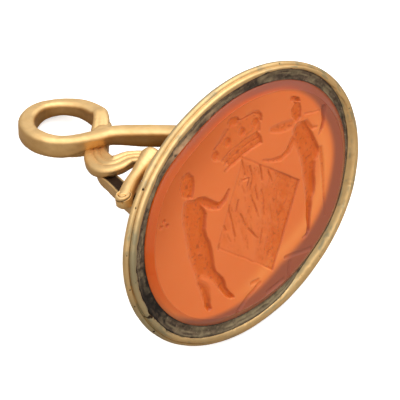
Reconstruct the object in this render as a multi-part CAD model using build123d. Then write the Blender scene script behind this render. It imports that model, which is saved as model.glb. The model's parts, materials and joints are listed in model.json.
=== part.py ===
from build123d import *
import math
import os

# Oval carnelian fob seal in a gold mount, lying on its side. Millimetres.
# The pieces are made in the seal's own axes: X along the oval, Y across it, Z out of the
# engraved face, with Z = 0 at the top of the gold lip and the handle running down to -Z.
# At the end they are laid down together on the rim and the far end of the ring.

# Bezel
bezel_length = 28.0         # over the outer band, along the oval
bezel_width = 24.2          # over the outer band, across the oval
band_height = 1.0           # rounded band round the bezel
band_rounding = 0.38
band_drop = 0.4             # from the top of the lip down to the band
lip_inset = 0.45            # from the outside of the band in to the lip
lip_width = 0.55
lip_rounding = 0.16

# Closed back: it tapers from the bezel to a small shoulder that carries the handle
back_inset = 0.55           # step from the band in to the back
back_reach = 10.1           # from the lip to the middle of the back
back_wall = 0.55

# Stone
bedding_width = 0.85        # dark bedding showing between lip and stone
bedding_drop = 0.25         # bedding lies this far below the lip
bevel_width = 0.75
bevel_height = 0.45
stone_stand = 0.15          # the flat face stands this far above the lip
stone_thickness = 2.2
girdle_chamfer = 0.5        # on the hidden back edge
engraving_depth = 0.22
device_height = 12.3        # height of the engraved lozenge
lozenge_share = 0.85        # its width over its height
device_right = 0.8          # the device sits off the middle of the face
device_down = 1.2
device_turn = 4.0           # and is turned a little on it
seat_gap = 0.05             # between stone, bedding and gold

# Top ring
ring_reach = 22.3           # from the lip to the ring's centre
ring_hole_radius = 2.8
ring_wire = 1.32            # in the plane of the ring
ring_depth = 1.6            # across the plane of the ring
ring_twist = -9.0           # the loop is turned on the handle's axis, as its arms pass each other
ring_rounding = 0.35

# Handle straps
foot_reach = 5.3            # from the middle to each foot, along the oval
foot_sink = 0.35            # feet are soldered this deep into the back
leg_width = 1.22
leg_depth = 1.65
scroll_width = 2.45         # reeded C-scroll
scroll_depth = 1.15
groove_width = 0.2
groove_depth = 0.14
groove_places = (-0.2, 0.3) # across the C-scroll, as shares of its half width
roll_diameter = 1.15
roll_offset = 0.85          # each rolled foot lies this far off the middle plane
volute_diameter = 1.5
strap_steps = 14            # straight runs in each strap
strap_chamfer = 0.45        # share of the thinner half that each edge is cut back
arm_share = 0.9             # share of the ring's wire that each arm starts with
arm_angles = (20, 50)       # where each arm leaves the ring's wire, in degrees from level

half_length = bezel_length / 2
half_width = bezel_width / 2
lip_edge = lip_inset + lip_width
stone_edge = lip_edge + bedding_width
band_bottom = band_drop + band_height
ring_line = ring_hole_radius + ring_wire / 2

# Profile of the back, from the band to the middle.
# size: share of the oval left after back_inset; depth: share of the way from the band to back_reach
back_profile = [
    (1.00, 0.00),
    (0.95, 0.08),
    (0.83, 0.18),
    (0.69, 0.32),
    (0.565, 0.48),
    (0.46, 0.64),
    (0.37, 0.77),
    (0.26, 0.90),
    (0.12, 0.975),
]

# Routes of the straps, in the middle plane of the handle.
# across: share of foot_reach; up: share of the way from the foot to the ring's centre;
# side: share of ring_depth off the middle plane; width and depth: shares of the strap's own
front_leg_route = [
    (-0.06, 0.705, 0.40, 1.00, 0.70),
    (0.20, 0.640, 0.40, 1.05, 0.72),
    (0.45, 0.515, 0.33, 1.00, 0.85),
    (0.71, 0.358, 0.24, 1.00, 1.00),
    (0.88, 0.200, 0.22, 1.00, 1.00),
    (1.00, 0.000, 0.22, 1.10, 1.00),
]
scroll_route = [
    (-0.05, 0.715, -0.36, 0.72, 0.96),
    (-0.22, 0.670, -0.30, 0.84, 0.96),
    (-0.40, 0.580, -0.22, 0.95, 0.96),
    (-0.51, 0.475, -0.18, 1.02, 0.96),
    (-0.43, 0.405, -0.18, 0.98, 0.96),
    (-0.18, 0.380, -0.18, 0.90, 0.96),
    (0.04, 0.350, -0.18, 0.84, 0.96),
]
back_leg_route = [
    (-0.61, 0.480, -0.30, 0.88, 0.75),
    (-0.70, 0.366, -0.27, 0.88, 0.85),
    (-0.79, 0.270, -0.24, 0.88, 0.90),
    (-0.88, 0.170, -0.22, 0.92, 0.95),
    (-0.98, 0.000, -0.22, 1.08, 1.00),
]
# roll: along the front of the handle from the left volute over the middle to the right foot
roll_route = [
    (-1.11, 0.098),
    (-0.74, 0.175),
    (-0.45, 0.227),
    (-0.15, 0.278),
    (0.11, 0.310),
    (0.38, 0.250),
    (0.68, 0.155),
    (0.98, 0.045),
]


def oval(inset):
    """The outline of the bezel, moved in by inset."""
    return Ellipse(half_length - inset, half_width - inset)


def oval_slab(inset, top, bottom):
    """A straight-sided oval between two depths below the lip."""
    return Pos(0, 0, -bottom) * extrude(oval(inset), bottom - top)


def back_form(inset, floor_cut):
    """The tapering back, moved in by inset and closed floor_cut short of its middle."""
    sections = []
    for size, depth in back_profile:
        across = (half_length - back_inset) * size - inset
        over = (half_width - back_inset) * size - inset
        level = band_bottom + (back_reach - floor_cut - band_bottom) * depth
        if min(across, over) > inset:
            sections.append(Pos(0, 0, -level) * Ellipse(across, over))
    return loft(sections, ruled=True)


def back_level(across):
    """Depth of the back's surface below the lip, at a place along the oval."""
    share = across / (half_length - back_inset)
    for outer, inner in zip(back_profile, back_profile[1:]):
        if inner[0] <= share <= outer[0]:
            part = (outer[0] - share) / (outer[0] - inner[0])
            depth = outer[1] + part * (inner[1] - outer[1])
            return band_bottom + (back_reach - band_bottom) * depth
    return back_reach


foot_level = back_level(foot_reach) - foot_sink
handle_rise = ring_reach - foot_level


def in_handle(across, up, side):
    """A place in the handle from its shares."""
    return Vector(across * foot_reach, side * ring_depth, -(foot_level + up * handle_rise))


def strap(points, widths, depths, shift=0.0):
    """A strap with chamfered edges through points in the handle's plane."""
    path = Spline(*points)
    rows = len(points) - 1
    sections = []
    for step in range(strap_steps + 1):
        share = step / strap_steps
        here = path.position_at(share)
        along = path.tangent_at(share)
        normal = Vector(along.Z, 0, -along.X).normalized()
        row = min(int(share * rows), rows - 1)
        part = share * rows - row
        half_w = (widths[row] + part * (widths[row + 1] - widths[row])) / 2
        half_d = (depths[row] + part * (depths[row + 1] - depths[row])) / 2
        edge = min(half_w, half_d) * strap_chamfer
        centre = here + normal * (shift * half_w)
        corners = [
            (half_w, half_d - edge), (half_w - edge, half_d),
            (edge - half_w, half_d), (-half_w, half_d - edge),
            (-half_w, edge - half_d), (edge - half_w, -half_d),
            (half_w - edge, -half_d), (half_w, edge - half_d),
        ]
        outline = [centre + normal * w + Vector(0, d, 0) for w, d in corners]
        sections.append(Wire.make_polygon(outline, close=True))
    return Solid.make_loft(sections, ruled=True)


def ring_start(side):
    """Two places on the ring's wire where an arm leaves it; side is -1 or +1 along the oval."""
    places = []
    twist = math.radians(ring_twist)
    for angle in arm_angles:
        turn = math.radians(angle)
        across = side * ring_line * math.cos(turn)
        level = ring_reach - ring_line * math.sin(turn)
        places.append(Vector(across * math.cos(twist), across * math.sin(twist), -level))
    return places


def route_strap(start, route, width, depth):
    """A strap from the ring, or from nowhere if start is empty, through the rows of a route."""
    points = start + [in_handle(row[0], row[1], row[2]) for row in route]
    widths = [ring_wire * arm_share] * len(start) + [row[3] * width for row in route]
    depths = [ring_depth * arm_share] * len(start) + [row[4] * depth for row in route]
    return points, widths, depths


def handle_straps():
    """Front strap and its leg, the reeded C-scroll of the back strap, and the back leg."""
    front = strap(*route_strap(ring_start(-1), front_leg_route, leg_width, leg_depth))
    scroll = strap(*route_strap(ring_start(1), scroll_route, scroll_width, scroll_depth))
    back = strap(*route_strap([], back_leg_route, leg_width, leg_depth))
    return [front, scroll, back]


def scroll_grooves():
    """The two grooves between the reeds, on both faces of the C-scroll."""
    cuts = []
    points, widths, depths = route_strap([], scroll_route, scroll_width, scroll_depth)
    for face in (-1, 1):
        for offset in groove_places:
            lifted = [p + Vector(0, face * d / 2, 0) for p, d in zip(points, depths)]
            line = []
            for index, place in enumerate(lifted):
                before = points[max(index - 1, 0)]
                after = points[min(index + 1, len(points) - 1)]
                along = after - before
                normal = Vector(along.Z, 0, -along.X).normalized()
                line.append(place + normal * (offset * widths[index] / 2))
            count = len(line)
            cuts.append(strap(line, [groove_width] * count, [2 * groove_depth] * count))
    return cuts


def rolled_foot():
    """A rolled foot scroll across the front of the handle, with its volute on the left foot."""
    side = roll_offset / ring_depth
    points = [in_handle(across, up, side) for across, up in roll_route]
    count = len(points)
    roll = strap(points, [roll_diameter] * count, [roll_diameter] * count)
    centre = points[0]
    volute = Pos(centre.X, centre.Y, centre.Z) * Rot(X=90) * Cylinder(
        volute_diameter / 2, roll_diameter)
    return [roll, volute]


def top_ring():
    """The fixed ring, of a rounded square section."""
    section = Pos(ring_line, 0) * RectangleRounded(ring_wire, ring_depth, ring_rounding)
    flat_ring = revolve(Rot(X=90) * section, Axis.Z)
    return Pos(0, 0, -ring_reach) * Rot(Z=ring_twist) * Rot(X=90) * flat_ring


def make_gold_mount():
    """Bezel, closed back, handle and ring, soldered into one solid."""
    band = oval_slab(0, band_drop, band_bottom)
    band = fillet(band.edges().filter_by(GeomType.ELLIPSE), band_rounding)
    lip = oval_slab(lip_inset, 0, band_bottom)
    lip = fillet(lip.edges().sort_by(Axis.Z)[-1], lip_rounding)
    shell = band + lip + back_form(0, 0)
    shell -= oval_slab(lip_edge, -lip_width, band_bottom + seat_gap)
    shell -= back_form(back_wall, back_wall)
    handle = top_ring()
    for piece in handle_straps():
        handle += piece
    for cut in scroll_grooves():
        handle -= cut
    for piece in rolled_foot():
        handle += piece
        handle += Rot(Z=180) * piece
    hollow = back_form(back_wall, back_wall)
    return shell + (handle - hollow)


def make_blank_stone(extra):
    """The bevelled oval tablet before engraving, grown by extra for its seat."""
    foot = stone_stand - bevel_height
    bottom = stone_stand - stone_thickness
    body = Pos(0, 0, bottom - extra) * extrude(
        oval(stone_edge - extra), foot - bottom + extra)
    crown = loft([
        Pos(0, 0, foot) * oval(stone_edge - extra),
        Pos(0, 0, stone_stand) * oval(stone_edge + bevel_width - extra),
    ], ruled=True)
    body = chamfer(body.edges().sort_by(Axis.Z)[0], girdle_chamfer)
    return body + crown


def lozenge(height):
    """The diamond of the engraved shield, as a flat face."""
    wide = height * lozenge_share
    return Polygon((0, height / 2), (wide / 2, 0), (0, -height / 2), (-wide / 2, 0))


def bar(x0, y0, x1, y1, thick):
    """A round-ended flat bar between two places."""
    length = math.hypot(x1 - x0, y1 - y0)
    angle = math.degrees(math.atan2(y1 - y0, x1 - x0))
    return Pos((x0 + x1) / 2, (y0 + y1) / 2) * Rot(Z=angle) * SlotCenterToCenter(length, thick)


def supporter(unit):
    """One plain standing figure with an arm laid on the shield; unit is the lozenge's height."""
    limbs = [
        (0.00, 0.20, -0.02, -0.10, 0.17),
        (-0.02, -0.12, -0.09, -0.55, 0.10),
        (0.02, -0.12, 0.08, -0.53, 0.10),
        (0.03, 0.19, 0.19, 0.10, 0.07),
        (-0.03, 0.19, -0.10, -0.02, 0.07),
    ]
    figure = Pos(0.01 * unit, 0.38 * unit) * Circle(0.075 * unit)
    for x0, y0, x1, y1, thick in limbs:
        figure += bar(x0 * unit, y0 * unit, x1 * unit, y1 * unit, thick * unit)
    return figure


def coronet(unit):
    """A plain coronet: a curved band under five balls."""
    crown = bar(-0.17 * unit, 0, 0.17 * unit, 0, 0.07 * unit)
    for place in range(-2, 3):
        tip = 0.17 * unit - 0.012 * unit * place * place
        crown += bar(place * 0.08 * unit, 0, place * 0.1 * unit, tip, 0.03 * unit)
        crown += Pos(place * 0.1 * unit, tip) * Circle(0.033 * unit)
    return crown


def make_carnelian():
    """The stone with the main forms of its engraving sunk into the flat face."""
    stone = make_blank_stone(0)
    shapes = [
        lozenge(device_height),
        Pos(0, 0.68 * device_height) * coronet(device_height),
        Pos(-0.56 * device_height, 0) * supporter(device_height),
        Pos(0.56 * device_height, 0) * mirror(supporter(device_height), Plane.YZ),
    ]
    place = Pos(device_right, -device_down, stone_stand - engraving_depth) * Rot(Z=device_turn)
    for shape in shapes:
        stone -= place * extrude(shape, engraving_depth * 2)
    return stone


def make_stone_bedding():
    """The bedding fills the bezel behind the stone and rises round its edge."""
    collar = oval_slab(lip_edge + seat_gap, bedding_drop, band_bottom)
    fill = back_form(back_wall + seat_gap, back_wall + seat_gap)
    pocket = make_blank_stone(seat_gap)
    return (collar + fill) - pocket


def rest_turn():
    """Turn about X that lays the seal on its rim and on the far end of the ring."""
    rim_y = -(half_width - band_rounding)
    rim_z = -(band_bottom - band_rounding)
    end_y = -(ring_depth / 2 - ring_rounding)
    end_z = -(ring_reach + ring_line + ring_wire / 2 - ring_rounding)
    span = math.hypot(end_y - rim_y, end_z - rim_z)
    slope = math.atan2(rim_z - end_z, end_y - rim_y)
    lean = math.acos((ring_rounding - band_rounding) / span) - slope
    return 90 - math.degrees(lean)


def main():
    pieces = {
        "gold_mount": make_gold_mount(),
        "carnelian": make_carnelian(),
        "stone_bedding": make_stone_bedding(),
    }
    laid = {name: Rot(X=rest_turn()) * piece for name, piece in pieces.items()}
    box = laid["gold_mount"].bounding_box()
    middle = box.center()
    home = Pos(-middle.X, -middle.Y, -box.min.Z)
    os.makedirs("parts", exist_ok=True)
    for name, piece in laid.items():
        export_step(home * piece, f"parts/{name}.step")


main()
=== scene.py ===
import json
import math
import bpy
import numpy as np
from mathutils import Matrix, Vector


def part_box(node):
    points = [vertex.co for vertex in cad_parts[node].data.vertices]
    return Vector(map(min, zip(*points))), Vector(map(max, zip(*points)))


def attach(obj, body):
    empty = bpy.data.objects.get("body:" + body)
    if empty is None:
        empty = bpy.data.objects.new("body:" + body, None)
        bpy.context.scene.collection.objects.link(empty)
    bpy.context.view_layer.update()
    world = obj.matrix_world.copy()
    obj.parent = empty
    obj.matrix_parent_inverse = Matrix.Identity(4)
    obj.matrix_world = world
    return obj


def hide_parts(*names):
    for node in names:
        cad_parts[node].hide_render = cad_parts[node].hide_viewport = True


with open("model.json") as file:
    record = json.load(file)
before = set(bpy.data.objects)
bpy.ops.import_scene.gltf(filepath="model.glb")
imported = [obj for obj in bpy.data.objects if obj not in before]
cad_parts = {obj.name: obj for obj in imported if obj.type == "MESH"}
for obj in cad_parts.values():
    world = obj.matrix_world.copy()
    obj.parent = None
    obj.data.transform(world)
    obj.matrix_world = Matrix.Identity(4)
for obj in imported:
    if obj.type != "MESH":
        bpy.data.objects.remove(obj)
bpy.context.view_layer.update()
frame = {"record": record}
print("frame loaded")

# Sizes are in millimetres in the seal's own axes: X along the oval, Y across it, Z out of the
# face, with 0 at the top of the lip and the handle running down to -Z.
# The seal lies on its side, so toFrame turns those axes about X and moves them home.
oval = {
    "mount": "seal_face",
    "mountPlace": (0.0, -8.4, 0.15),  # where that mount lies in the seal's axes
    "narrower": 1.9,                  # half the length less half the width
}
faceMount = next(m for m in frame["record"]["mounts"] if m["name"] == oval["mount"])
layTurn = math.atan2(-faceMount["axis"][1], faceMount["axis"][2])
goldLow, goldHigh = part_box("gold_mount")
halfLength = (goldHigh.x - goldLow.x) * 500  # half the long axis, in millimetres
halfWidth = halfLength - oval["narrower"]
halfSizes = np.array([halfLength, halfWidth])
layMatrix = np.array([
    [1, 0, 0],
    [0, math.cos(layTurn), -math.sin(layTurn)],
    [0, math.sin(layTurn), math.cos(layTurn)],
])
home = np.array(faceMount["pos_m"]) * 1000 - layMatrix @ np.array(oval["mountPlace"])


# Points turned about X by layTurn, moved home, and millimetres made metres
def toFrame(points):
    return (points @ layMatrix.T + home) / 1000


# Helpers for surfaces

noiseTable = np.random.default_rng(11).uniform(-1, 1, (32, 32, 32))


# Smooth lattice noise between -1 and 1: the eight corner values of a cell, blended by smoothstep
def softNoise(points, size, shift=0.0):
    place = points / size + shift
    cell = np.floor(place).astype(int)
    part = place - cell
    part = part * part * (3 - 2 * part)
    total = np.zeros(points.shape[:-1])
    for corner in range(8):
        step = np.array([corner & 1, corner >> 1 & 1, corner >> 2 & 1])
        at = (cell + step) % 32
        weight = np.prod(np.where(step == 1, part, 1 - part), axis=-1)
        total += weight * noiseTable[at[..., 0], at[..., 1], at[..., 2]]
    return total


# A cubic through a few points, in even steps: its slope at each point is that between the points
# on either side of it
def smoothThrough(points, count):
    points = np.asarray(points, float)
    ends = [2 * points[0] - points[1]], [2 * points[-1] - points[-2]]
    knots = np.concatenate([ends[0], points, ends[1]])
    at = np.linspace(0, len(points) - 1, count)
    index = np.minimum(at.astype(int), len(points) - 2)
    t = (at - index)[:, None]
    a, b, c, d = (knots[index + k] for k in range(4))
    return 0.5 * (2 * b + (c - a) * t + (2 * a - 5 * b + 4 * c - d) * t ** 2
                  + (3 * b - a - 3 * c + d) * t ** 3)


# The same curve spaced evenly by length
def evenThrough(points, count):
    fine = smoothThrough(points, 1200)
    run = np.concatenate([[0], np.cumsum(np.linalg.norm(np.diff(fine, axis=0), axis=1))])
    at = np.linspace(0, run[-1], count)
    return np.stack([np.interp(at, run, fine[:, k]) for k in range(fine.shape[1])], -1)


# An arc of a circle in a profile's plane, from one angle to another in degrees
def arcPoints(across, along, radius, start, end, count):
    angle = np.radians(np.linspace(start, end, count))
    return np.stack([across + radius * np.cos(angle), along + radius * np.sin(angle)], -1)


# A value round the oval from a short table of (angle in degrees, value), smoothed and periodic
def roundTable(table, angle):
    table = np.array(table, float)
    fine = np.arange(-180, 180, 1.0)
    values = np.interp(fine, table[:, 0], table[:, 1], period=360)
    blur = np.exp(-(np.arange(-15, 16) / 7.0) ** 2)
    padded = np.concatenate([values[-15:], values, values[:15]])
    values = np.convolve(padded, blur / blur.sum(), "valid")
    return np.interp(np.degrees(angle), fine, values, period=360)


# A soft patch round the oval: 1 at its angle, and falling off with a power of the distance in spreads
def patchAt(degrees, at, spread, power=2):
    return np.exp(-(((degrees - at + 180) % 360 - 180) / spread) ** power)


# Noise drawn out round the oval: a cell is so many degrees long, and 1 across
def streakNoise(degrees, across, cellDegrees, shift):
    places = np.broadcast_arrays(degrees / cellDegrees, across, 0.0)
    return softNoise(np.stack(places, -1), 1.0, shift)


# Points of the oval at an inset from the band's outside and a height above the lip
def ovalPoints(inset, height, angle):
    return np.stack([(halfLength - inset) * np.cos(angle),
                     (halfWidth - inset) * np.sin(angle), height + 0 * angle], -1)


# A grid of points as a closed mesh: rows on the first axis and columns, which join up, on the
# second. A fan from the middle of the first row and one from that of the last close its ends.
def surfaceFromGrid(name, points, marks, material):
    rows, columns = points.shape[:2]
    index = np.arange(rows * columns).reshape(rows, columns)
    here, below = index[:-1], index[1:]
    quads = np.stack([here, np.roll(here, -1, 1), np.roll(below, -1, 1), below], -1).reshape(-1, 4)
    vertices = np.vstack([points.reshape(-1, 3), points[0].mean(0), points[-1].mean(0)])
    pointMarks = {}
    for key, value in marks.items():
        value = np.broadcast_to(value, (rows, columns))
        pointMarks[key] = np.append(value, [value[0].mean(), value[-1].mean()])
    fans = [np.stack([np.full(columns, rows * columns + end), line, np.roll(line, -1)], -1)
            for end, line in enumerate((index[0][::-1], index[-1]))]
    return meshFromFaces(name, vertices, quads, np.concatenate(fans), pointMarks, material)


# Faces are turned round where the enclosed volume comes out negative, so they point outwards
def meshFromFaces(name, vertices, quads, triangles, marks, material):
    halves = np.concatenate([quads[:, :3], quads[:, [0, 2, 3]], triangles])
    a, b, c = (vertices[halves[:, k]] for k in range(3))
    if np.einsum("ij,ij->i", a, np.cross(b, c)).sum() < 0:
        quads, triangles = quads[:, ::-1], triangles[:, ::-1]
    mesh = bpy.data.meshes.new(name)
    mesh.from_pydata(toFrame(vertices), [], quads.tolist() + triangles.tolist())
    mesh.polygons.foreach_set("use_smooth", np.ones(len(mesh.polygons), bool))
    for key, value in marks.items():
        layer = mesh.attributes.new(key, "FLOAT", "POINT")
        layer.data.foreach_set("value", np.clip(value, 0, 1).astype(np.float32))
    mesh.validate()
    mesh.update()
    mesh.materials.append(material)
    piece = bpy.data.objects.new(name, mesh)
    bpy.context.scene.collection.objects.link(piece)
    return piece


# Materials

# A fresh node material, its tree and its principled shader
def newMaterial(name):
    material = bpy.data.materials.new(name)
    material.use_nodes = True
    tree = material.node_tree
    shader = next(n for n in tree.nodes if n.type == "BSDF_PRINCIPLED")
    return material, tree, shader


# A node, with its inputs and settings given by name
def addNode(tree, kind, **values):
    node = tree.nodes.new(kind)
    for key, value in values.items():
        if key in node.inputs:
            node.inputs[key].default_value = value
        else:
            setattr(node, key, value)
    return node


# An input takes another node's output or a plain value
def feed(tree, socket, value):
    if isinstance(value, bpy.types.NodeSocket):
        tree.links.new(value, socket)
    else:
        socket.default_value = value


# One colour turned into another by a factor; the mix node's colours are its inputs 6 and 7
def mixColour(tree, factor, first, second):
    node = addNode(tree, "ShaderNodeMix", data_type="RGBA")
    for k, value in ((0, factor), (6, first), (7, second)):
        feed(tree, node.inputs[k], value)
    return node.outputs[2]


# A value carried from one range to another, and held at its ends
def ramp(tree, source, start, end, low=0.0, high=1.0):
    ends = {"From Min": start, "From Max": end, "To Min": low, "To Max": high}
    node = addNode(tree, "ShaderNodeMapRange", **ends)
    feed(tree, node.inputs["Value"], source)
    return node.outputs["Result"]


# One step of arithmetic on two values
def maths(tree, operation, first, second):
    node = addNode(tree, "ShaderNodeMath", operation=operation)
    for socket, value in zip(node.inputs, (first, second)):
        feed(tree, socket, value)
    return node.outputs[0]


# A mark that the piece keeps on its points
def markOf(tree, name):
    return addNode(tree, "ShaderNodeAttribute", attribute_name=name).outputs["Fac"]


# Colours laid over one another, each where the mark of its name is strong
def layMarks(tree, colour, look, names):
    for name in names:
        colour = mixColour(tree, markOf(tree, name), colour, look[name])
    return colour


# Fine wear as a group on object coordinates: clouds, pits and hairline scratches, each a noise
# of its own scale that is ramped between two levels
def buildWearGroup():
    group = bpy.data.node_groups.new("fineWear", "ShaderNodeTree")
    for label, scale in (("Cloud Scale", 600.0), ("Pit Scale", 4000.0), ("Scratch Scale", 3000.0)):
        socket = group.interface.new_socket(label, in_out="INPUT", socket_type="NodeSocketFloat")
        socket.default_value = scale
    for label in ("Clouds", "Pits", "Scratches"):
        group.interface.new_socket(label, in_out="OUTPUT", socket_type="NodeSocketFloat")
    start = group.nodes.new("NodeGroupInput")
    end = group.nodes.new("NodeGroupOutput")
    place = group.nodes.new("ShaderNodeTexCoord").outputs["Object"]
    stretch = addNode(group, "ShaderNodeMapping", Rotation=(0.4, 0.9, 0.3), Scale=(1.0, 0.06, 1.0))
    group.links.new(place, stretch.inputs["Vector"])
    drawnOut = stretch.outputs["Vector"]
    for label, scale, source, detail, rough, low, high in (
            ("Clouds", "Cloud Scale", place, 4.0, 0.6, 0.3, 0.7),
            ("Pits", "Pit Scale", place, 2.0, 0.5, 0.64, 0.76),
            ("Scratches", "Scratch Scale", drawnOut, 2.0, 0.6, 0.42, 0.62)):
        noise = addNode(group, "ShaderNodeTexNoise", Detail=detail, Roughness=rough)
        group.links.new(source, noise.inputs["Vector"])
        group.links.new(start.outputs[scale], noise.inputs["Scale"])
        group.links.new(ramp(group, noise.outputs["Fac"], low, high), end.inputs[label])
    return group


wearGroup = buildWearGroup()


# The wear group placed in a material with its own three scales
def placeWear(tree, clouds, pits, scratches):
    scales = {"Cloud Scale": clouds, "Pit Scale": pits, "Scratch Scale": scratches}
    return addNode(tree, "ShaderNodeGroup", node_tree=wearGroup, **scales).outputs


# The shader's normal from a height, by a bump of some strength and depth in metres
def bumpFrom(tree, shader, height, strength, distance):
    node = addNode(tree, "ShaderNodeBump", Strength=strength, Distance=distance)
    tree.links.new(height, node.inputs["Height"])
    tree.links.new(node.outputs["Normal"], shader.inputs["Normal"])


goldLook = {
    "bright": (0.88, 0.61, 0.29, 1),
    "tarnish": (0.66, 0.41, 0.16, 1),
    # olive is patina, and painted shade low on the band round the top of the oval
    "olivePatinaAndShade": (0.43, 0.365, 0.220, 1),
    # brown is patina on the bezel, and painted brown shade on the handle's edge sides and undersides
    "brownPatinaAndShade": (0.33, 0.135, 0.022, 1),
    # grime, and painted shade under the straps near the bezel and in the back leg's hollow
    "grimeAndShade": (0.030, 0.014, 0.006, 1),
    "wearScales": (500.0, 3200.0, 5000.0),  # of the clouds, pits and scratches
    "clouding": 0.55,
    "pitting": 0.22,
    "roughness": (0.44, 0.54),  # between scratches and along them
    # this roughness is added where the grime and the painted shade lie
    "grimeRoughness": 0.4,      # added where grime lies
    "reflection": 0.15,
    "bump": (0.12, 0.00003),
}


# Old satin gold: clouds of tarnish, then olive and brown patina with painted olive and brown shade laid in
# the same marks, then grime and painted shade, which aren't metal
def makeGold():
    material, tree, shader = newMaterial("wornGold")
    wear = placeWear(tree, *goldLook["wearScales"])
    clouds = maths(tree, "MULTIPLY", wear["Clouds"], goldLook["clouding"])
    colour = mixColour(tree, clouds, goldLook["bright"], goldLook["tarnish"])
    colour = layMarks(tree, colour, goldLook, ("olivePatinaAndShade", "brownPatinaAndShade"))
    # the grime mark also holds painted shade under the straps and in the back leg's hollow, laid as dark
    # non-metal
    grimeAndShade = markOf(tree, "grimeAndShade")
    dirtAndShade = maths(tree, "ADD", grimeAndShade, maths(tree, "MULTIPLY", wear["Pits"], goldLook["pitting"]))
    colour = mixColour(tree, ramp(tree, dirtAndShade, 0.25, 0.85), colour, goldLook["grimeAndShade"])
    tree.links.new(colour, shader.inputs["Base Color"])
    tree.links.new(ramp(tree, dirtAndShade, 0.3, 0.9, 1.0, 0.15), shader.inputs["Metallic"])
    rough = ramp(tree, wear["Scratches"], 0, 1, *goldLook["roughness"])
    rough = maths(tree, "ADD", rough, maths(tree, "MULTIPLY", grimeAndShade, goldLook["grimeRoughness"]))
    tree.links.new(rough, shader.inputs["Roughness"])
    shader.inputs["Specular IOR Level"].default_value = goldLook["reflection"]
    height = maths(tree, "SUBTRACT", maths(tree, "MULTIPLY", wear["Scratches"], 0.3),
                   maths(tree, "MULTIPLY", wear["Pits"], 0.5))
    bumpFrom(tree, shader, height, *goldLook["bump"])
    return material


beddingLook = {
    "dark": (0.045, 0.029, 0.017, 1),
    "mid": (0.205, 0.138, 0.086, 1),
    "green": (0.30, 0.235, 0.130, 1),
    "pale": (0.42, 0.33, 0.22, 1),
    "grimeAndShade": (0.012, 0.008, 0.005, 1),
    "lump": (0.60, 0.38, 0.21, 1),
    "wearScales": (2600.0, 5200.0, 6000.0),
    "blotchScale": 700.0,
    "blotches": 0.7,
    "specks": 0.75,
    "roughness": (0.5, 0.8),
    "reflection": 0.25,
    "bump": (0.5, 0.00008),
}


# Rough dark bedding: mottled browns with green blotches, pale specks, and grime at its edges
def makeBedding():
    material, tree, shader = newMaterial("oldBedding")
    wear = placeWear(tree, *beddingLook["wearScales"])
    colour = mixColour(tree, wear["Clouds"], beddingLook["dark"], beddingLook["mid"])
    noise = addNode(tree, "ShaderNodeTexNoise", Scale=beddingLook["blotchScale"], Detail=3.0)
    tree.links.new(tree.nodes.new("ShaderNodeTexCoord").outputs["Object"], noise.inputs["Vector"])
    blotches = ramp(tree, noise.outputs["Fac"], 0.50, 0.72, 0.0, beddingLook["blotches"])
    specks = maths(tree, "MULTIPLY", wear["Pits"], beddingLook["specks"])
    for mask, paint in ((blotches, "green"), (markOf(tree, "worn"), "green"), (specks, "pale")):
        colour = mixColour(tree, mask, colour, beddingLook[paint])
    colour = layMarks(tree, colour, beddingLook, ("grimeAndShade", "lump"))
    tree.links.new(colour, shader.inputs["Base Color"])
    tree.links.new(ramp(tree, wear["Clouds"], 0, 1, *beddingLook["roughness"]), shader.inputs["Roughness"])
    shader.inputs["Specular IOR Level"].default_value = beddingLook["reflection"]
    bumpFrom(tree, shader, wear["Clouds"], *beddingLook["bump"])
    return material


stoneLook = {
    "heart": (0.83, 0.188, 0.040, 1),
    "cloud": (0.88, 0.235, 0.066, 1),
    # the rim colour is a painted shade along the stone's rim
    "rim": (0.30, 0.081, 0.045, 1),
    "carved": (0.72, 0.126, 0.006, 1),
    "edge": (0.70, 0.088, 0.002, 1),
    # the glow colour is a painted glow
    "glow": (0.99, 0.335, 0.085, 1),
    "deep": (0.55, 0.098, 0.010, 1),
    "shade": (0.30, 0.036, 0.002, 1),
    "wearScales": (260.0, 6000.0, 5000.0),
    "clouding": 0.25,
    "specks": 0.5,      # dark specks in the carving
    "rimStrength": 0.9,
    "roughness": 0.12,
    "carvedRoughness": 0.30,  # added where it is carved
    "bump": (0.15, 0.00003),
    # values that are the same all over the stone, by the shader's own names
    "plain": {"Subsurface Weight": 0.30, "Subsurface Radius": (1.0, 0.35, 0.12),
              "Subsurface Scale": 0.0012, "IOR": 1.54, "Specular IOR Level": 0.40},
}


# Carnelian: colour zones from heart to rim, with a painted shade on the rim and a painted glow inside it,
# deeper and duller where it is carved
def makeCarnelian():
    material, tree, shader = newMaterial("polishedCarnelian")
    wear = placeWear(tree, *stoneLook["wearScales"])
    clouds = maths(tree, "MULTIPLY", wear["Clouds"], stoneLook["clouding"])
    colour = mixColour(tree, clouds, stoneLook["heart"], stoneLook["cloud"])
    # glow is a painted glow
    colour = layMarks(tree, colour, stoneLook, ("glow", "edge", "deep"))
    carved = markOf(tree, "carved")
    specks = maths(tree, "MULTIPLY", maths(tree, "MULTIPLY", wear["Pits"], carved), stoneLook["specks"])
    shade = maths(tree, "MAXIMUM", markOf(tree, "shade"), specks)
    # painted shade on the rim
    paintedRimShade = maths(tree, "MULTIPLY", markOf(tree, "paintedRimShade"), stoneLook["rimStrength"])
    for mask, paint in ((ramp(tree, carved, 0.1, 0.8), "carved"), (shade, "shade"), (paintedRimShade, "rim")):
        colour = mixColour(tree, mask, colour, stoneLook[paint])
    tree.links.new(colour, shader.inputs["Base Color"])
    added = maths(tree, "MULTIPLY", carved, stoneLook["carvedRoughness"])
    tree.links.new(maths(tree, "ADD", stoneLook["roughness"], added), shader.inputs["Roughness"])
    for label, value in stoneLook["plain"].items():
        shader.inputs[label].default_value = value
    bumpFrom(tree, shader, maths(tree, "MULTIPLY", wear["Clouds"], carved), *stoneLook["bump"])
    return material


goldFinish = makeGold()
beddingFinish = makeBedding()
stoneFinish = makeCarnelian()
print("materials built")

# Gold bezel and closed back: one closed surface, its profile carried round the oval

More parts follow.
